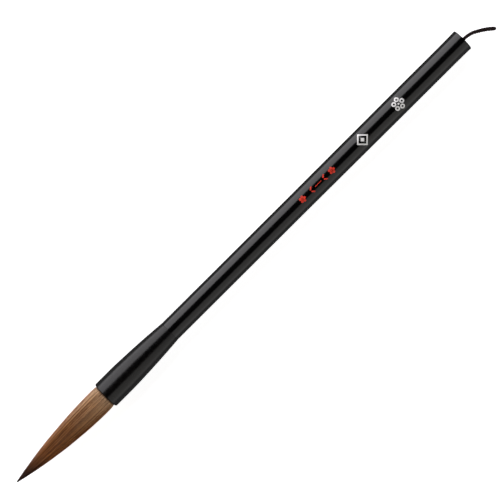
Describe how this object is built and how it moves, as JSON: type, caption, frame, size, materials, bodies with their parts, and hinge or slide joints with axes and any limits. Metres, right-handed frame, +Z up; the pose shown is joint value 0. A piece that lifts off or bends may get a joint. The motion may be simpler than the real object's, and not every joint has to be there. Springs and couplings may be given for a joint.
{
  "type": "calligraphy brush",
  "caption": "Calligraphy brush with a lacquered round wooden handle, a flared ferrule, a long pointed tuft of brown hair and a cord loop to hang it by.",
  "frame": {"origin": "bottom centre of the brush as it lies on a table, half way between the hair's tip and the handle's end, straight under its axis; the hanging loop is not counted", "axes": "+X along the brush's axis from the hair's tip to the handle's end, +Z up, the engraved ornaments facing up"},
  "size_m": [0.2631, 0.0125, 0.012],
  "materials": {
    "black_lacquer": "gloss black lacquer on wood",
    "black_horn": "polished black horn",
    "brown_hair": "animal hair, tan at the root to near black at the tip",
    "hemp_thread": "waxed thread",
    "amber_resin": "set rosin",
    "white_paint": "white lacquer in an engraving",
    "red_paint": "red lacquer in an engraving",
    "dark_cord": "twisted maroon-black cord"
  },
  "bodies": {
    "handle": {"shaft": "black_lacquer", "ferrule": "black_lacquer", "end_plug": "black_horn", "hair_root": "brown_hair", "root_thread": "hemp_thread", "root_resin": "amber_resin", "loop_knot": "dark_cord", "white_blossom_inlay": "white_paint", "white_fret_inlay": "white_paint", "red_spray_inlay": "red_paint"},
    "tuft": {"cover_hair": "brown_hair", "lining_hair": "brown_hair", "core_hair": "brown_hair"},
    "loop": {"hanging_loop": "dark_cord"}
  },
  "joints": [
    {"name": "tuft_bend", "type": "hinge", "parent": "handle", "child": "tuft", "pos_m": [-0.0782, 0, 0.006], "axis": [0, 0, 1], "range_deg": [-35, 35], "stiffness_Nm_per_rad": 0.016},
    {"name": "loop_swing", "type": "hinge", "parent": "handle", "child": "loop", "pos_m": [0.12575, 0, 0.006], "axis": [0, 0, 1], "range_deg": [-35, 60]}
  ]
}
